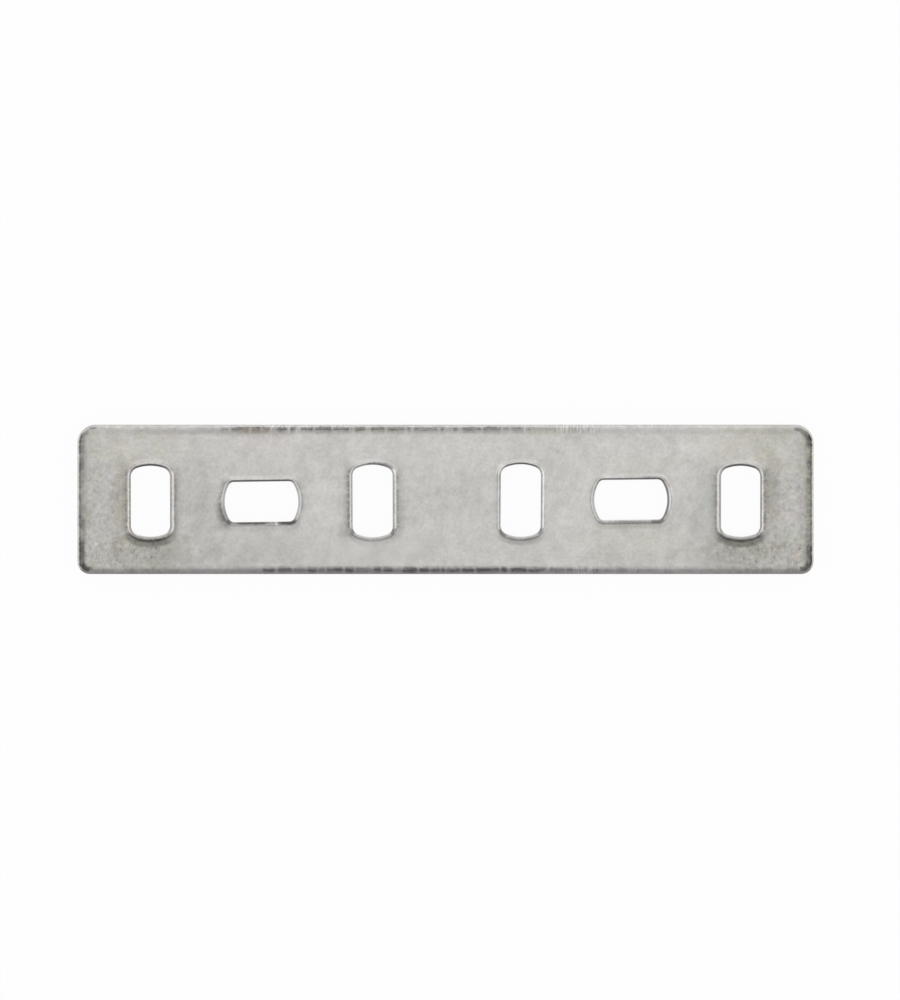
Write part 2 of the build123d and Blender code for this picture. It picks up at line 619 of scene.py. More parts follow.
# Stains of the upper face: middle, reach (mm), tint, softness of the border
STAINS = [
    # warm film above the outer slots
    ((-41.5, 7.6), (9.0, 2.8), (1.06, 1.058, 1.055), 0.5),
    ((-40.0, 6.6), (7.0, 1.6), (1.02, 1.02, 1.0), 0.6),
    ((40.5, 7.4), (8.0, 2.6), (1.085, 1.08, 1.055), 0.5),
    # cool bare metal beside them
    ((-46.4, -1.0), (1.9, 4.5), (0.985, 0.99, 1.005), 0.6),
    ((-34.0, 0.2), (2.6, 4.6), (0.93, 0.932, 0.942), 0.6),
    ((35.2, -2.2), (1.9, 6.0), (0.92, 0.922, 0.928), 0.6),
    # brown film close to their outer sides
    ((-44.1, -0.8), (1.1, 5.0), (0.83, 0.815, 0.775), 0.6),
    ((44.3, 0.8), (1.1, 4.6), (0.83, 0.82, 0.785), 0.6),
    # dark olive fringe on their near side
    ((-40.0, -7.2), (5.6, 2.3), (0.87, 0.865, 0.845), 0.5),
    ((-39.0, -6.2), (3.6, 1.2), (0.92, 0.92, 0.89), 0.7),
    ((40.3, -7.2), (6.2, 2.3), (0.87, 0.868, 0.85), 0.5),
    ((40.8, -6.2), (3.6, 1.2), (0.92, 0.915, 0.895), 0.7),
    # brighter and duller ground in the middle
    ((26.0, 6.4), (6.0, 2.2), (1.05, 1.05, 1.045), 0.6),
    ((-25.0, 6.2), (5.5, 2.0), (1.03, 1.025, 1.03), 0.6),
    ((-17.3, 0.0), (2.2, 6.0), (1.03, 1.03, 1.03), 0.7),
    ((17.3, 0.0), (2.2, 6.0), (1.03, 1.03, 1.03), 0.7),
    ((0.0, 7.0), (15.0, 2.4), (1.025, 1.025, 1.025), 0.6),
    ((0.0, 0.0), (6.0, 5.5), (0.985, 0.985, 0.985), 0.7),
    ((-33.0, -8.8), (9.0, 1.8), (0.93, 0.93, 0.93), 0.5),
    ((-33.4, -6.4), (2.2, 3.0), (0.96, 0.96, 0.96), 0.6),
    ((-27.5, -8.0), (3.0, 1.6), (0.96, 0.96, 0.96), 0.6),
    ((-33.4, 6.0), (1.6, 2.6), (0.96, 0.96, 0.965), 0.6),
    ((-30.5, 4.2), (2.0, 1.0), (1.025, 1.025, 1.025), 0.6),
    ((-45.0, 8.0), (1.2, 1.0), (0.96, 0.96, 0.955), 0.6),
    ((-37.6, 8.4), (2.0, 0.8), (0.965, 0.96, 0.955), 0.6),
    ((32.6, 3.4), (1.6, 3.0), (1.03, 1.03, 1.025), 0.6),
    ((33.4, -4.6), (1.4, 2.4), (0.965, 0.965, 0.97), 0.6),
    ((28.0, -8.8), (10.0, 1.6), (0.95, 0.95, 0.95), 0.6),
    ((10.0, -7.0), (6.0, 2.2), (0.98, 0.98, 0.98), 0.7),
    # duller ground between the outer and the long slots
    ((-32.6, -3.0), (2.4, 6.0), (0.94, 0.94, 0.935), 0.6),
    ((-25.0, -6.3), (6.5, 2.6), (0.9, 0.9, 0.9), 0.7),
    # iridescent film
    ((-24.8, 8.4), (3.2, 1.2), (1.02, 0.985, 1.0), 0.6),
    ((-35.5, 9.2), (3.4, 0.4), (0.92, 0.9, 0.91), 0.6),
    ((46.6, -0.8), (1.7, 3.4), (1.01, 0.985, 1.01), 0.5),
    ((46.6, 0.8), (1.1, 0.9), (0.97, 1.02, 1.0), 0.6),
    ((46.8, -5.2), (1.3, 1.2), (0.96, 1.01, 0.98), 0.6),
    ((40.3, -6.5), (2.2, 0.8), (0.985, 1.003, 0.99), 0.6),
    ((47.5, -7.0), (1.0, 1.6), (1.02, 0.98, 1.0), 0.6),
    ((47.0, 2.0), (2.2, 6.0), (1.02, 1.03, 1.02), 0.7),
    ((35.7, -0.1), (0.8, 1.1), (0.95, 1.0, 0.985), 0.6),
    ((48.2, -1.0), (0.45, 3.6), (0.95, 0.925, 0.985), 0.5),
    # olive film along both ends
    ((49.5, 0.0), (1.2, 9.6), (1.0, 1.0, 0.945), 0.3),
    ((-49.5, -0.5), (1.1, 9.4), (1.0, 1.0, 0.972), 0.35),
    # rosy crown on the near side of the outer right slot
    ((40.1, -5.2), (2.8, 0.45), (1.02, 0.995, 1.045), 0.4),
    # olive film along the far edge
    ((-27.5, 9.0), (6.5, 0.5), (0.9, 0.895, 0.885), 0.5),
    ((-26.0, 9.4), (2.4, 0.5), (0.95, 0.94, 0.86), 0.5),
    ((-9.5, 9.4), (3.6, 0.5), (1.0, 0.99, 0.93), 0.5),
    ((13.5, 9.3), (3.2, 0.6), (0.98, 0.98, 0.93), 0.5),
    # warm patches about the long right slot
    ((25.8, 4.6), (4.8, 0.9), (1.0, 1.0, 0.965), 0.6),
    ((27.4, -6.0), (7.5, 2.5), (1.0, 1.0, 0.965), 0.7),
    # painted shade on the rolls beside the slots, darkest at the long left slot's lower left corner
    ((-30.2, -2.2), (1.0, 1.2), (0.74, 0.74, 0.73), 0.7),
    ((-13.9, -4.2), (0.6, 1.2), (0.82, 0.82, 0.81), 0.7),
    ((-13.6, 0.0), (0.8, 4.6), (0.92, 0.92, 0.92), 0.7),
    ((-6.2, -1.4), (0.6, 3.4), (0.94, 0.94, 0.94), 0.7),
]

# Dark blots that hug the strip's edge, and spots of painted shade on the slots' sheared walls: middle, reach,
# depth
EDGE_BLOTS = [
    ((-47.9, 9.7), (0.6, 0.22), 0.5),
    ((-48.9, 9.1), (0.5, 0.5), 0.36),
    ((-49.2, 7.6), (0.5, 1.4), 0.15),
    ((-49.3, 5.0), (0.35, 0.9), 0.3),
    ((48.0, 9.5), (0.8, 0.3), 0.5),
    ((48.7, 9.0), (0.5, 0.5), 0.48),
    ((49.2, 8.0), (0.4, 0.9), 0.34),
    ((-48.8, -9.0), (0.7, 0.9), 0.7),
    ((-49.3, -7.4), (0.5, 1.5), 0.45),
    ((-49.1, -3.6), (0.45, 0.8), 0.3),
    ((48.7, -9.0), (0.7, 0.9), 0.6),
    ((49.3, -7.2), (0.4, 0.8), 0.3),
    ((49.3, 4.8), (0.3, 0.6), 0.35),
    ((49.3, 2.6), (0.3, 0.4), 0.3),
]
SLOT_WALL_SHADE_SPOTS = [
    ((-6.7, -4.45), (0.75, 0.45), 0.5),
    ((-29.2, -3.0), (0.5, 0.35), 0.5),
    ((-26.4, -3.1), (2.0, 0.4), 0.62),
    ((-21.4, -3.1), (1.3, 0.4), 0.7),
    ((7.9, -4.4), (0.9, 0.5), 0.48),
    ((12.4, -4.2), (0.8, 0.5), 0.42),
    ((7.7, 3.4), (0.3, 0.8), 0.2),
    ((28.9, -2.9), (0.9, 0.5), 0.42),
    ((25.0, -2.9), (2.4, 0.4), 0.12),
    ((30.0, 0.2), (0.35, 2.2), 0.3),
    ((28.0, 2.95), (1.3, 0.4), 0.3),
    ((20.9, 1.6), (0.5, 0.9), 0.5),
    ((-9.0, 4.7), (1.6, 0.4), 0.45),
    ((-7.4, 4.5), (0.7, 0.4), 0.3),
    ((-12.7, -4.4), (0.6, 0.4), 0.45),
    ((29.3, 2.5), (0.5, 0.6), 0.3),
    ((-36.9, 4.3), (0.5, 0.6), 0.35),
    ((-43.1, 4.2), (0.5, 0.5), 0.25),
]
# Painted highlights on the crowns, in the same way
GLINTS = [
    ((-6.6, 4.3), (0.8, 0.6), 0.25),
    ((7.5, 4.2), (0.8, 0.8), 0.3),
    ((12.9, 3.6), (0.6, 1.0), 0.12),
    ((30.1, 0.3), (0.6, 2.0), 0.3),
    ((-19.9, 3.0), (0.6, 0.6), 0.2),
    ((-23.0, -3.05), (0.25, 0.5), 0.6),
    ((-25.0, -3.3), (1.6, 0.3), 0.1),
    ((29.0, 3.2), (0.8, 0.5), 0.15),
]

# Dashes of painted shade along the near and the far edge: start, end and depth
NEAR_DASHES = [
    (-30.0, -25.2, 0.12), (-24.9, -23.1, 0.85), (-22.8, -20.8, 0.75), (-20.7, -19.0, 0.3),
    (-18.8, -17.4, 0.85), (-17.3, -16.3, 0.45), (-16.2, -13.9, 0.95), (-13.7, -12.4, 0.95),
    (-12.2, -10.3, 0.45), (-9.9, -8.7, 0.85), (-8.5, -7.1, 0.9), (-5.9, -3.8, 1.05),
    (-3.6, -2.2, 0.8), (-2.0, -0.7, 0.5), (-0.6, -0.05, 1.0),
    (0.1, 2.0, 0.65), (2.2, 3.9, 0.9), (4.1, 7.4, 1.0), (7.5, 8.4, 1.1), (8.8, 11.0, 0.9), (11.2, 13.6, 0.6),
    (14.1, 16.2, 0.6), (16.3, 17.4, 0.65), (18.2, 18.5, 0.6), (18.9, 19.2, 0.6), (19.8, 20.9, 0.8),
    (21.4, 23.0, 0.35), (23.1, 24.9, 0.5), (25.9, 26.4, 0.5), (26.5, 29.0, 0.15), (29.7, 30.0, 0.6),
    (39.0, 44.5, 0.12), (46.2, 48.4, 0.5),
]
FAR_DASHES = [
    (-46.4, -45.2, 0.15), (-33.8, -31.2, 0.25), (-30.6, -29.4, 0.6), (-29.2, -26.6, 0.75),
    (-26.4, -25.05, 0.9), (-24.95, -23.7, 0.8), (-23.0, -21.4, 1.1), (-21.2, -20.3, 1.0), (-19.7, -17.9, 1.0),
    (-17.8, -15.4, 1.05), (-15.3, -13.0, 0.95), (-12.9, -12.6, 0.4), (-12.4, -10.8, 1.0), (-10.2, -8.2, 1.0),
    (-8.0, -5.5, 0.75), (-5.3, -4.6, 0.95), (-4.4, -1.0, 0.65), (-0.7, 0.9, 0.8), (1.0, 1.8, 0.85),
    (2.2, 4.9, 0.9), (5.0, 7.6, 0.95), (7.7, 8.7, 0.4), (8.9, 10.6, 0.6), (11.1, 11.7, 0.5),
    (11.8, 15.6, 0.3), (16.0, 16.3, 0.4), (16.8, 17.1, 0.4), (17.5, 18.0, 0.35), (19.0, 20.2, 0.25),
]
# The painted shade that the dashes lie on: place along the strip and depth
NEAR_GROUND = (
    (-50.0, 0.0), (-30.0, 0.04), (-24.0, 0.5), (-10.0, 0.65), (8.0, 0.7), (15.0, 0.45), (24.0, 0.14),
    (50.0, 0.0),
)
FAR_GROUND = (
    (-50.0, 0.0), (-36.0, 0.05), (-30.0, 0.25), (-22.0, 0.5), (-6.0, 0.5), (9.0, 0.45), (14.0, 0.15),
    (20.0, 0.0),
)
# Where the edges are nicked into light ticks, in the same way
FAR_TICKS = [
    (-22.9, -13.2, 0.5), (-10.7, -10.3, 1.0), (-1.0, 1.0, 0.5), (6.9, 7.1, 1.0), (10.6, 11.0, 1.3),
    (14.9, 20.5, 0.7), (20.4, 20.7, 1.0), (26.0, 30.0, 0.3),
]
NEAR_TICKS = [
    (-12.4, -12.1, 1.0), (-10.0, -9.8, 0.7), (-3.6, -3.1, 0.6), (-0.1, 0.1, 0.8), (7.4, 7.6, 1.0),
    (8.5, 8.7, 1.2), (17.5, 20.9, 0.8), (29.4, 30.8, 0.4),
]

# Scratches: middle, half length, half width, turn in degrees and tint
SCRATCHES = [
    ((-23.6, 9.7), 1.1, 0.09, 58.0, 1.3),
    ((-22.6, 9.9), 0.6, 0.07, 60.0, 1.25),
    ((15.4, 4.6), 2.6, 0.16, 62.0, 1.05),
    ((16.3, 2.2), 2.2, 0.14, 60.0, 1.045),
    ((14.6, 7.0), 1.6, 0.12, 64.0, 1.05),
    ((17.5, 0.2), 1.8, 0.12, 58.0, 1.04),
    ((2.6, 5.2), 2.0, 0.1, 70.0, 1.035),
    ((-1.6, 2.0), 2.4, 0.12, 74.0, 1.03),
    ((-17.6, 3.6), 1.8, 0.1, 66.0, 1.03),
    ((13.9, -9.4), 0.5, 0.09, 60.0, 1.3),
    ((25.9, -9.5), 0.5, 0.1, 55.0, 1.25),
]


# Tones by distance from a wall in mm, each with only the stops that its shape needs. Round a slot
# they are the painted shade on the sheared wall, and the crown's painted highlight and shade where
# the wall faces an end and +Y.
SLOT_WALL_SHADE = ((0.0, 0.17), (0.12, 0.18), (0.4, 1.2), (0.95, 1.0))
SLOT_END_HIGHLIGHT_AND_SHADE = ((0.0, 0.46), (0.07, 0.56), (0.3, 1.5), (0.42, 1.48), (0.65, 1.0))
SLOT_FAR_HIGHLIGHT_AND_SHADE = ((0.0, 1.1), (0.14, 1.27), (0.36, 0.84), (0.7, 1.0))

# How deep the painted shade beyond the crown is, at an end and at +Y
SLOT_END_RIM_SHADE = ((0.46, 0.0), (0.65, 0.3), (1.0, 0.15), (1.6, 0.0))
SLOT_FAR_RIM_SHADE = ((0.3, 0.0), (0.5, 0.68), (0.65, 0.54), (0.95, 0.48), (1.35, 0.02))

# The same for the strip's own edge, at -Y, an end and +Y: the crown's painted highlight and shade, then the
# depth of the painted shade along the edge
EDGE_HIGHLIGHTS_AND_SHADE = (
    ((0.0, 0.48), (0.3, 0.53), (0.55, 0.62), (0.85, 0.86), (1.2, 1.0)),
    ((0.0, 1.05), (0.16, 1.32), (0.3, 0.82), (0.5, 1.0)),
    ((0.0, 1.1), (0.2, 1.22), (0.4, 1.5), (0.7, 1.0), (1.0, 0.92), (1.5, 1.0)),
)
EDGE_RIM_SHADES = (
    ((0.05, 0.15), (0.3, 0.36), (0.58, 0.6), (0.9, 0.32), (1.2, 0.0)),
    ((0.22, 0.0), (0.32, 0.47), (0.5, 0.33), (0.8, 0.25), (1.5, 0.0)),
    ((0.25, 0.0), (0.52, 0.54), (0.9, 0.28), (1.4, 0.0)),
)


# Speckles of the steel: blotches to the millimetre, detail, stretch and roughness
BROAD_SPECKLE = (0.16, 2.0)
COARSE_SPECKLE = (0.6, 3.0, (1.0, 0.85, 1.0))
LEANING_SPECKLE = (1.5, 2.0, (1.25, 0.6, 1.0))
LYING_SPECKLE = (1.5, 2.0, (0.65, 1.3, 1.0))
FINE_SPECKLE = (2.6, 2.0, (1.0, 0.85, 1.0), 0.6)
ROUGH_SPECKLE = (1.9, 4.0, (1.0, 0.9, 1.0), 0.72)
STREAKY_SPECKLE = (1.0, 3.0, (3.0, 0.7, 1.0), 0.6)
PIT_SPECKLE = (2.3, 3.0, (1.0, 0.7, 1.0), 0.6)
WARM_SPECKLE = (0.55, 3.0)
GREEN_SPECKLE = (0.8, 2.0)
RAGGED_SPECKLE = (0.9, 4.0)
PATCHY_SPECKLE = (1.3, 3.0, (0.7, 1.4, 1.0), 0.6)
TORN_SPECKLE = (1.0, 3.0, (1.4, 0.8, 1.0), 0.7)
LINE_SPECKLE = (1.0, 3.0, (0.4, 5.0, 1.0), 0.6)
NICK_SPECKLE = (1.0, 2.0, (4.5, 0.5, 1.0), 0.6)
DASH_SPECKLE = (1.0, 4.0, (0.8, 2.6, 1.0), 0.7)
WALL_SPECKLE = (2.4, 3.0, (1.0, 1.0, 0.15), 0.6)

# The lean of the grain in the middle of the strip, in degrees, and how far out it lies instead
GRAIN_LEAN = 20.0
GRAIN_LIES = (4.0, 6.0)

# How strong each grain is. The two values of a pair are for the rough ends and for their fringe.
BROAD_GRAIN = 0.2
COARSE_GRAIN = 0.3
MEDIUM_GRAIN = 0.42
FINE_GRAIN = 0.33
ROUGH_GRAIN = (0.7, 0.1)
STREAKY_GRAIN = (0.15, 0.2)
PIT_DEPTH = (0.12, 0.25)

# Zones of the face in mm, from where one starts to where it is full
ENDS_FROM_MIDDLE = (34.0, 40.5)
ENDS_RAGGED = 8.0
ROUGH_BELOW = (7.0, 2.5)
FRINGE_BELOW = (-5.0, -6.2)
FRINGE_ABOVE = (-9.6, -8.4)
CALM_MIDDLE = (-10.5, -7.4)
CALM_REACH = (8.0, 2.0)
CALM_SOFTNESS = 0.4

# Colours: the bare ground in two tones, the film over the ends, and its small changes of hue
GROUND_COLOURS = ((0.521, 0.51, 0.486), (0.527, 0.517, 0.498))
END_FILM = (0.93, 0.93, 0.91)
WARM_TINGES = ((0.993, 0.996, 1.012), (1.007, 1.004, 0.983))
GREEN_TINGES = ((1.004, 0.996, 1.004), (0.997, 1.003, 0.997))
BARE_METAL = (1.0, 0.99, 1.015)
# A darker violet tint laid over the painted shade along the edge
EDGE_SHADE_TINT = (0.97, 0.94, 1.0)
NEAR_LIP = (1.0, 0.988, 1.018)

# Where a wall counts as facing -Y or +Y, between 0 for an end and 1
FULLY_SIDEWAYS = (0.35, 0.85)

# How ragged the borders are: of stains, of the painted shade beyond the crowns and along the edge, and of the
# torn line of the painted edge shade
STAIN_RAGGED = 1.6
RIM_SHADE_RAGGED = 0.25
BAND_RAGGED = 0.35

# How strong the dashes of painted shade on the near and the far edge are, the most the painted shade there
# darkens, and the nicks
NEAR_DASH_GAIN = 0.64
FAR_DASH_GAIN = 0.74
NEAR_BAND_LIMIT = 0.73
FAR_BAND_LIMIT = 0.67
NICK_GAIN = 0.35


class Steel:
    """What the steel's material reads at each place, for the functions below."""

    def __init__(self, n):
        place = n.add("ShaderNodeTexCoord").outputs["Object"]
        self.place = n.vector("MULTIPLY", place, (1 / MM, 1 / MM, 1 / MM))
        axes = n.add("ShaderNodeSeparateXYZ", {0: self.place}).outputs
        self.x, self.y, self.z = axes["X"], axes["Y"], axes["Z"]
        self.from_middle = n.math("ABSOLUTE", self.x)
        self.from_centreline = n.math("ABSOLUTE", self.y)
        self.upper = n.ramp(self.z, THICKNESS * 0.5, THICKNESS * 0.62)
        self.from_slot = n.math("DIVIDE", n.attribute("slot_distance"), n.attribute("slot_draw"))
        self.slot_face = n.attribute("slot_facing")
        self.from_edge = n.attribute("edge_distance")
        self.edge_face = n.attribute("edge_facing")
        self.coarse = n.speckle(self.place, *COARSE_SPECKLE)
        self.medium = n.blend(
            n.ramp(self.from_centreline, *GRAIN_LIES),
            n.speckle(n.turned(self.place, math.radians(GRAIN_LEAN)), *LEANING_SPECKLE),
            n.speckle(self.place, *LYING_SPECKLE),
        )
        self.ragged = n.swing(n.speckle(self.place, *RAGGED_SPECKLE), STAIN_RAGGED)
        patchy = n.speckle(self.place, *PATCHY_SPECKLE)
        self.speck = n.ramp(patchy, 0.36, 0.6, 0.45, 1.25)
        self.stray = n.swing(patchy, RIM_SHADE_RAGGED)
        ends_reach = n.math("ADD", self.from_middle, n.swing(self.coarse, ENDS_RAGGED))
        self.ends = n.ramp(ends_reach, *ENDS_FROM_MIDDLE)


def by_facing(n, face, near, end, far):
    """One of three values by where the wall faces: -Y, an end or +Y."""
    start, full = FULLY_SIDEWAYS
    tone = n.blend(n.ramp(face, -start, -full), end, near)
    return n.blend(n.ramp(face, start, full), tone, far)


def grain(n, steel):
    """The tone of the rolled face, rougher and pitted towards the ends."""
    rough_ends = n.product(steel.ends, n.ramp(steel.y, *ROUGH_BELOW))
    fringe = n.product(steel.ends, n.ramp(steel.y, *FRINGE_BELOW), n.ramp(steel.y, *FRINGE_ABOVE))
    calm = n.oval(steel.place, 0.0, CALM_MIDDLE, CALM_REACH, CALM_SOFTNESS)
    wild = n.total(1.0, n.product(calm, -0.5), n.product(steel.ends, 0.25))

    def at_ends(gains):
        return n.total(n.product(rough_ends, gains[0]), n.product(fringe, gains[1]))

    tone = n.total(
        1.0,
        n.swing(n.speckle(steel.place, *BROAD_SPECKLE), BROAD_GRAIN),
        n.swing(steel.coarse, COARSE_GRAIN),
        n.swing(steel.medium, wild, MEDIUM_GRAIN),
        n.swing(n.speckle(steel.place, *FINE_SPECKLE), wild, FINE_GRAIN),
        n.swing(n.speckle(steel.place, *ROUGH_SPECKLE), at_ends(ROUGH_GRAIN)),
        n.swing(n.speckle(steel.place, *STREAKY_SPECKLE), at_ends(STREAKY_GRAIN)),
    )
    pits = n.ramp(n.speckle(steel.place, *PIT_SPECKLE), 0.54, 0.72)
    return n.product(tone, n.left_by(n.product(pits, at_ends(PIT_DEPTH))))


def scratches(n, steel):
    """The tone of the leaning scratches, 1 between them."""
    tone = 1.0
    for middle, half_length, half_width, turn, gain in SCRATCHES:
        mark = n.oval(steel.place, 0.0, middle, (half_length, half_width), 0.6, math.radians(turn))
        tone = n.product(tone, n.weigh(n.math("MULTIPLY", mark, steel.upper), gain))
    return tone


def ground_colour(n, steel):
    """The grey zinc with the ends' film and the stains."""
    colour = n.mix(n.ramp(steel.coarse, 0.35, 0.65), *GROUND_COLOURS)
    colour = n.stain(steel.ends, colour, END_FILM)
    upper_ends = n.math("MULTIPLY", steel.ends, steel.upper)
    warm = n.ramp(n.speckle(steel.place, *WARM_SPECKLE), 0.42, 0.58)
    colour = n.stain(upper_ends, colour, n.mix(warm, *WARM_TINGES))
    # Read 40 mm away, so that the green tinge doesn't follow the warm one
    elsewhere = n.vector("ADD", steel.place, (40.0, 0.0, 0.0))
    green = n.ramp(n.speckle(elsewhere, *GREEN_SPECKLE), 0.42, 0.58)
    colour = n.stain(upper_ends, colour, n.mix(green, *GREEN_TINGES))
    for middle, reach, tint, soft in STAINS:
        spread = n.math("MULTIPLY", n.oval(steel.place, steel.ragged, middle, reach, soft), steel.upper)
        colour = n.stain(spread, colour, tint)
    return colour


def slot_rims(n, steel):
    """The tone round the slots: painted shade on the sheared wall, the crown's painted highlight and shade,
    and painted shade beyond it.
    """
    # The crown's painted highlight and shade, by where the wall faces
    shine = by_facing(
        n, steel.slot_face, 1.0,
        n.rim(steel.from_slot, SLOT_END_HIGHLIGHT_AND_SHADE), n.rim(steel.from_slot, SLOT_FAR_HIGHLIGHT_AND_SHADE),
    )
    # Painted shade on the sheared wall, darkest right at the wall
    line = n.weigh(n.attribute("slot_wall_shade_weight"), n.rim(steel.from_slot, SLOT_WALL_SHADE))
    # Painted shade beyond the crown
    near_slot = n.math("ADD", steel.from_slot, steel.stray)
    depth = by_facing(
        n, steel.slot_face, 0.0,
        n.rim(near_slot, SLOT_END_RIM_SHADE), n.rim(near_slot, SLOT_FAR_RIM_SHADE),
    )
    # The painted shade beyond the crown is broken up where a wall faces an end, and more even where it faces
    # -Y or +Y
    sideways = n.ramp(n.math("ABSOLUTE", steel.slot_face), *FULLY_SIDEWAYS)
    evener = n.math("ADD", n.product(steel.speck, 0.35), 0.65)
    depth = n.product(depth, n.attribute("slot_rim_shade_weight"), n.blend(sideways, steel.speck, evener))
    return n.product(line, n.weigh(n.attribute("slot_shine"), shine), n.left_by(depth))


def dark_bands(n, steel):
    """How deep the painted shade along the strip's edge is, broken into dashes on the long edges."""
    near_edge = n.math("ADD", steel.from_edge, steel.stray)
    torn_line = n.swing(n.speckle(steel.place, *TORN_SPECKLE), BAND_RAGGED)
    wavy = n.math("ADD", near_edge, torn_line)
    lines = n.ramp(n.speckle(steel.place, *LINE_SPECKLE), 0.35, 0.65, 0.75, 1.15)
    uneven = n.ramp(n.speckle(steel.place, *DASH_SPECKLE), 0.34, 0.62, 0.55, 1.25)

    def long_band(rim_shade, ground, marks, gain, limit):
        dashes = n.product(n.dashes(steel.x, marks), uneven, gain)
        along = n.total(n.curve(steel.x, ground, -LENGTH / 2, LENGTH / 2), dashes)
        return n.math("MINIMUM", n.product(n.rim(wavy, rim_shade), along, lines), limit)

    near = long_band(EDGE_RIM_SHADES[0], NEAR_GROUND, NEAR_DASHES, NEAR_DASH_GAIN, NEAR_BAND_LIMIT)
    far = long_band(EDGE_RIM_SHADES[2], FAR_GROUND, FAR_DASHES, FAR_DASH_GAIN, FAR_BAND_LIMIT)
    # An end's band is deeper towards the corners, and at the right end
    end = n.product(
        n.rim(near_edge, EDGE_RIM_SHADES[1]), steel.speck,
        n.ramp(steel.from_centreline, 4.0, 8.0, 0.82, 1.1), n.ramp(steel.x, -10.0, 10.0, 1.0, 1.35),
    )
    return by_facing(n, steel.edge_face, near, end, far)


def edge_nicks(n, steel):
    """The tone of the light ticks across the long edges, 1 elsewhere."""
    nicks = n.ramp(n.speckle(steel.place, *NICK_SPECKLE), 0.36, 0.64, -0.6, 0.8)
    nicks = n.product(nicks, n.ramp(steel.from_edge, 1.3, 0.9), NICK_GAIN)
    near = n.product(nicks, n.dashes(steel.x, NEAR_TICKS))
    far = n.product(nicks, n.dashes(steel.x, FAR_TICKS))
    return n.math("ADD", 1.0, by_facing(n, steel.edge_face, near, 0.0, far))


def spots(n, steel):
    """The tone of the dark blots at the edge, the spots of painted shade on the slots' walls and the painted
    highlights on their crowns, 1 between them.
    """
    hugging = n.product(n.ramp(steel.from_edge, 0.2, 0.42), n.ramp(steel.from_edge, 1.2, 0.8))
    # Dark blots hugging the strip's edge near its ends
    edge_blotting = n.product(n.blots(steel.place, steel.ragged, EDGE_BLOTS), hugging)
    # Spots of painted shade on the slots' sheared walls
    wall_shade_spots = n.product(n.blots(steel.place, steel.ragged, SLOT_WALL_SHADE_SPOTS), n.ramp(steel.from_slot, 0.55, 0.4))
    # Painted highlights on the slots' crowns
    bright = n.product(n.blots(steel.place, steel.ragged, GLINTS), n.ramp(steel.from_slot, 0.9, 0.6))
    return n.product(n.left_by(edge_blotting), n.left_by(wall_shade_spots), n.math("ADD", 1.0, bright))


def rim_colour(n, steel, colour, edge_depth):
    """The colour with the rims' tints: bare crowns, a darker violet tint over the painted edge shade and a
    violet near lip.
    """
    bare = n.math("MAXIMUM", n.ramp(steel.from_slot, 0.75, 0.5), n.ramp(steel.from_edge, 0.75, 0.5))
    colour = n.stain(bare, colour, BARE_METAL)
    # The painted edge shade, tinted violet
    colour = n.stain(n.math("MULTIPLY", edge_depth, steel.upper), colour, EDGE_SHADE_TINT)
    start, full = FULLY_SIDEWAYS
    near_lip = n.product(
        n.ramp(steel.edge_face, -start, -full), n.ramp(steel.from_edge, 0.7, 0.35), steel.upper
    )
    return n.stain(near_lip, colour, NEAR_LIP)


def zinc_material():
    """Dull zinc over rolled steel, browner and grainier towards the ends."""
    material = bpy.data.materials.new("zinc_plated_steel")
    material.use_nodes = True
    n = Nodes(material.node_tree)
    steel = Steel(n)

    # The upper face and its rims, with their painted highlights and shade
    # Painted shade along the strip's edge, broken into dashes on the long edges
    edge_depth = dark_bands(n, steel)
    # Painted highlight and shade over the edge's crown, and painted shade on its near side
    edge_highlight_and_shade = by_facing(n, steel.edge_face, *[n.rim(steel.from_edge, stops) for stops in EDGE_HIGHLIGHTS_AND_SHADE])
    rims = n.product(
        slot_rims(n, steel), edge_highlight_and_shade, edge_nicks(n, steel), n.left_by(edge_depth), spots(n, steel)
    )
    tone = n.product(grain(n, steel), scratches(n, steel), n.blend(steel.upper, 1.0, rims))
    colour = rim_colour(n, steel, ground_colour(n, steel), edge_depth)

    # The walls' torn zone, darker and streaked
    streak = n.speckle(steel.place, *WALL_SPECKLE)
    torn = n.product(
        n.ramp(steel.z, TEAR_HEIGHT * 1.15, TEAR_HEIGHT * 0.85), n.ramp(steel.z, 0.005, 0.05)
    )
    tone = n.product(tone, n.left_by(n.product(torn, n.ramp(streak, 0.35, 0.65, 0.15, 0.5))))

    colour = n.add("ShaderNodeVectorMath", {0: colour, "Scale": tone}, operation="SCALE").outputs[0]
    roughness = n.total(
        n.ramp(steel.medium, 0.3, 0.7, 0.27, 0.33), n.product(steel.ends, 0.03), n.product(torn, 0.15)
    )
    shader = n.add(
        "ShaderNodeBsdfPrincipled", {"Base Color": colour, "Metallic": 1.0, "Roughness": roughness}
    )
    relief = n.total(n.product(steel.medium, 0.5), steel.coarse, n.product(streak, torn, 2.0))
    bump = n.add("ShaderNodeBump", {"Height": relief, "Strength": 0.2, "Distance": 0.00001})
    n.tree.links.new(bump.outputs[0], shader.inputs["Normal"])
    n.add("ShaderNodeOutputMaterial", {"Surface": shader.outputs[0]})
    return material


# The floor: the share of it that glows evenly where it is seen, while the rest keeps the shadow.
# Then come its half size and its gap below the back face, in metres.
GLOW_SHARE = 0.95
FLOOR_HALF_SIZE = 3.0
FLOOR_GAP = 0.00002


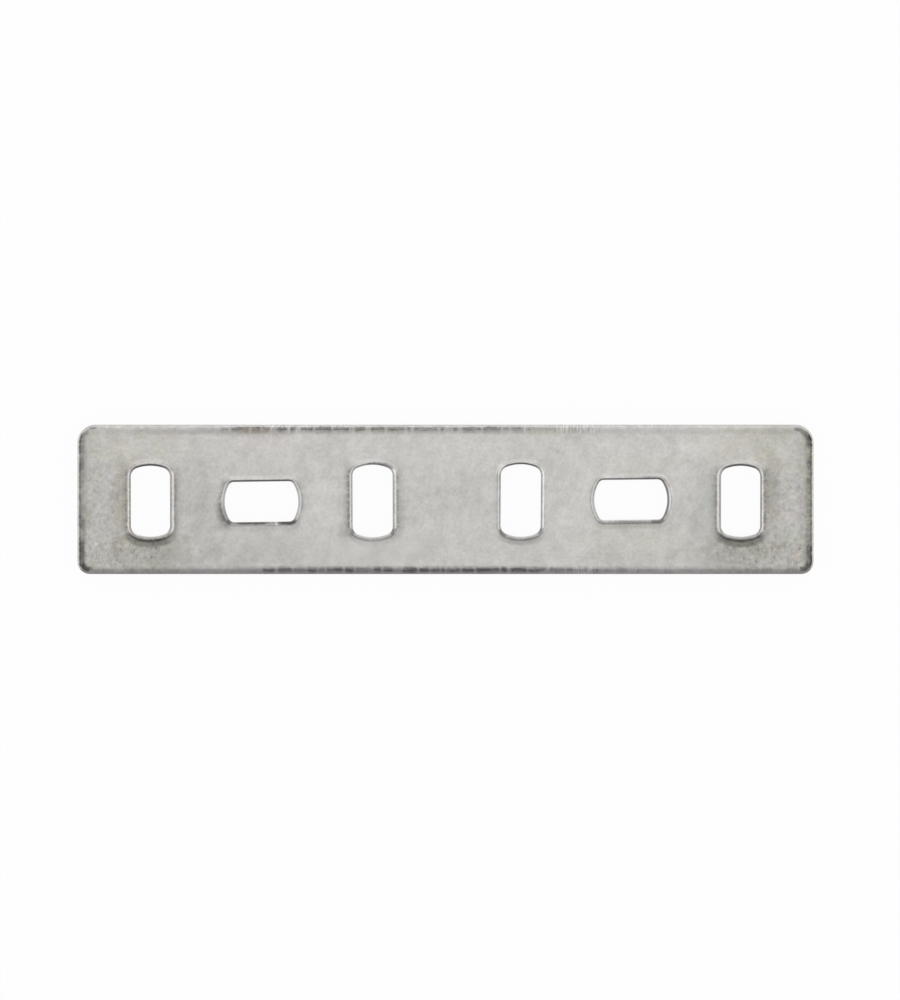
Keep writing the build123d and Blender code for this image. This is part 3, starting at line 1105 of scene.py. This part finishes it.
def floor_material():
    """White for the camera and for reflections, with a little of the plate's shadow kept."""
    material = bpy.data.materials.new("floor_white")
    material.use_nodes = True
    n = Nodes(material.node_tree)
    path = n.add("ShaderNodeLightPath").outputs
    seen = n.math("MAXIMUM", path["Is Camera Ray"], path["Is Glossy Ray"])
    seen = n.math("MAXIMUM", seen, path["Is Transmission Ray"])
    glow_share = n.math("MULTIPLY", seen, GLOW_SHARE)
    diffuse = n.add("ShaderNodeBsdfDiffuse", {"Color": (0.9, 0.9, 0.9, 1.0)})
    glow = n.add("ShaderNodeEmission", {"Color": (1.0, 1.0, 1.0, 1.0), "Strength": 1.0})
    mixed = n.add("ShaderNodeMixShader", {0: glow_share, 1: diffuse.outputs[0], 2: glow.outputs[0]})
    n.add("ShaderNodeOutputMaterial", {"Surface": mixed.outputs[0]})
    return material


# The studio's light: its level all round and overhead, and how much dimmer it is on the far side
# and beyond the ends. A zone goes from where it starts to where it is full, along a direction.
ROUND_LEVEL = 1.08
OVERHEAD_LEVEL = 1.2
OVERHEAD_UP = (0.93, 0.99)
FAR_DIM = 0.35
FAR_OUT = (0.05, 0.3)
FAR_UP = (0.3, 0.6)
ENDS_DIM = 0.55
ENDS_OUT = (0.08, 0.3)
ENDS_UP = (0.66, 0.82)


def studio_world():
    """A soft studio: light overhead and all round, dimmer above the far side and the ends."""
    world = bpy.data.worlds.new("studio")
    bpy.context.scene.world = world
    world.use_nodes = True
    n = Nodes(world.node_tree)
    way = n.add("ShaderNodeTexCoord").outputs["Generated"]
    axes = n.add("ShaderNodeSeparateXYZ", {0: way}).outputs
    overhead = n.ramp(axes["Z"], *OVERHEAD_UP)
    level = n.blend(overhead, ROUND_LEVEL, OVERHEAD_LEVEL)
    far = n.product(n.ramp(axes["Y"], *FAR_OUT), n.ramp(axes["Z"], *FAR_UP), FAR_DIM)
    outward = n.math("ABSOLUTE", axes["X"])
    ends = n.product(n.ramp(outward, *ENDS_OUT), n.ramp(axes["Z"], *ENDS_UP), ENDS_DIM)
    dim = n.product(n.math("MAXIMUM", far, ends), n.math("SUBTRACT", 1.0, overhead))
    background = n.add(
        "ShaderNodeBackground", {"Color": (1.0, 1.0, 1.0, 1.0), "Strength": n.math("SUBTRACT", level, dim)}
    )
    n.add("ShaderNodeOutputWorld", {"Surface": background.outputs[0]})


def make_floor():
    """A white floor just below the plate's back face."""
    data = bpy.data.meshes.new("floor")
    signs = ((-1, -1), (1, -1), (1, 1), (-1, 1))
    corners = [(x * FLOOR_HALF_SIZE, y * FLOOR_HALF_SIZE, -FLOOR_GAP) for x, y in signs]
    data.from_pydata(corners, [], [(0, 1, 2, 3)])
    data.materials.append(floor_material())
    floor = bpy.data.objects.new("floor", data)
    bpy.context.scene.collection.objects.link(floor)


# The camera's focal length in mm, long so that little perspective shows, and its reach in metres
LENS = 300.0
CAMERA_REACH = 100.0


def make_camera():
    """Looks straight down, so that the plate lies where it lies in the photograph."""
    pixels_per_metre = (PLATE_RIGHT - PLATE_LEFT) / (LENGTH * MM)
    frame_height = PHOTO_HEIGHT / pixels_per_metre
    data = bpy.data.cameras.new("camera")
    data.lens = LENS
    distance = frame_height * data.lens / data.sensor_width
    camera = bpy.data.objects.new("camera", data)
    bpy.context.scene.collection.objects.link(camera)
    middle_x = (PHOTO_WIDTH / 2 - (PLATE_LEFT + PLATE_RIGHT) / 2) / pixels_per_metre
    middle_y = ((PLATE_TOP + PLATE_BOTTOM) / 2 - PHOTO_HEIGHT / 2) / pixels_per_metre
    camera.location = (middle_x, middle_y, THICKNESS * MM + distance)
    data.clip_end = CAMERA_REACH
    bpy.context.scene.camera = camera


make_camera()
make_floor()
studio_world()

plate = build_plate()
plate.data.materials.append(zinc_material())
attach(plate, "root")
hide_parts("mending_plate")

bpy.context.scene.view_settings.view_transform = "Standard"
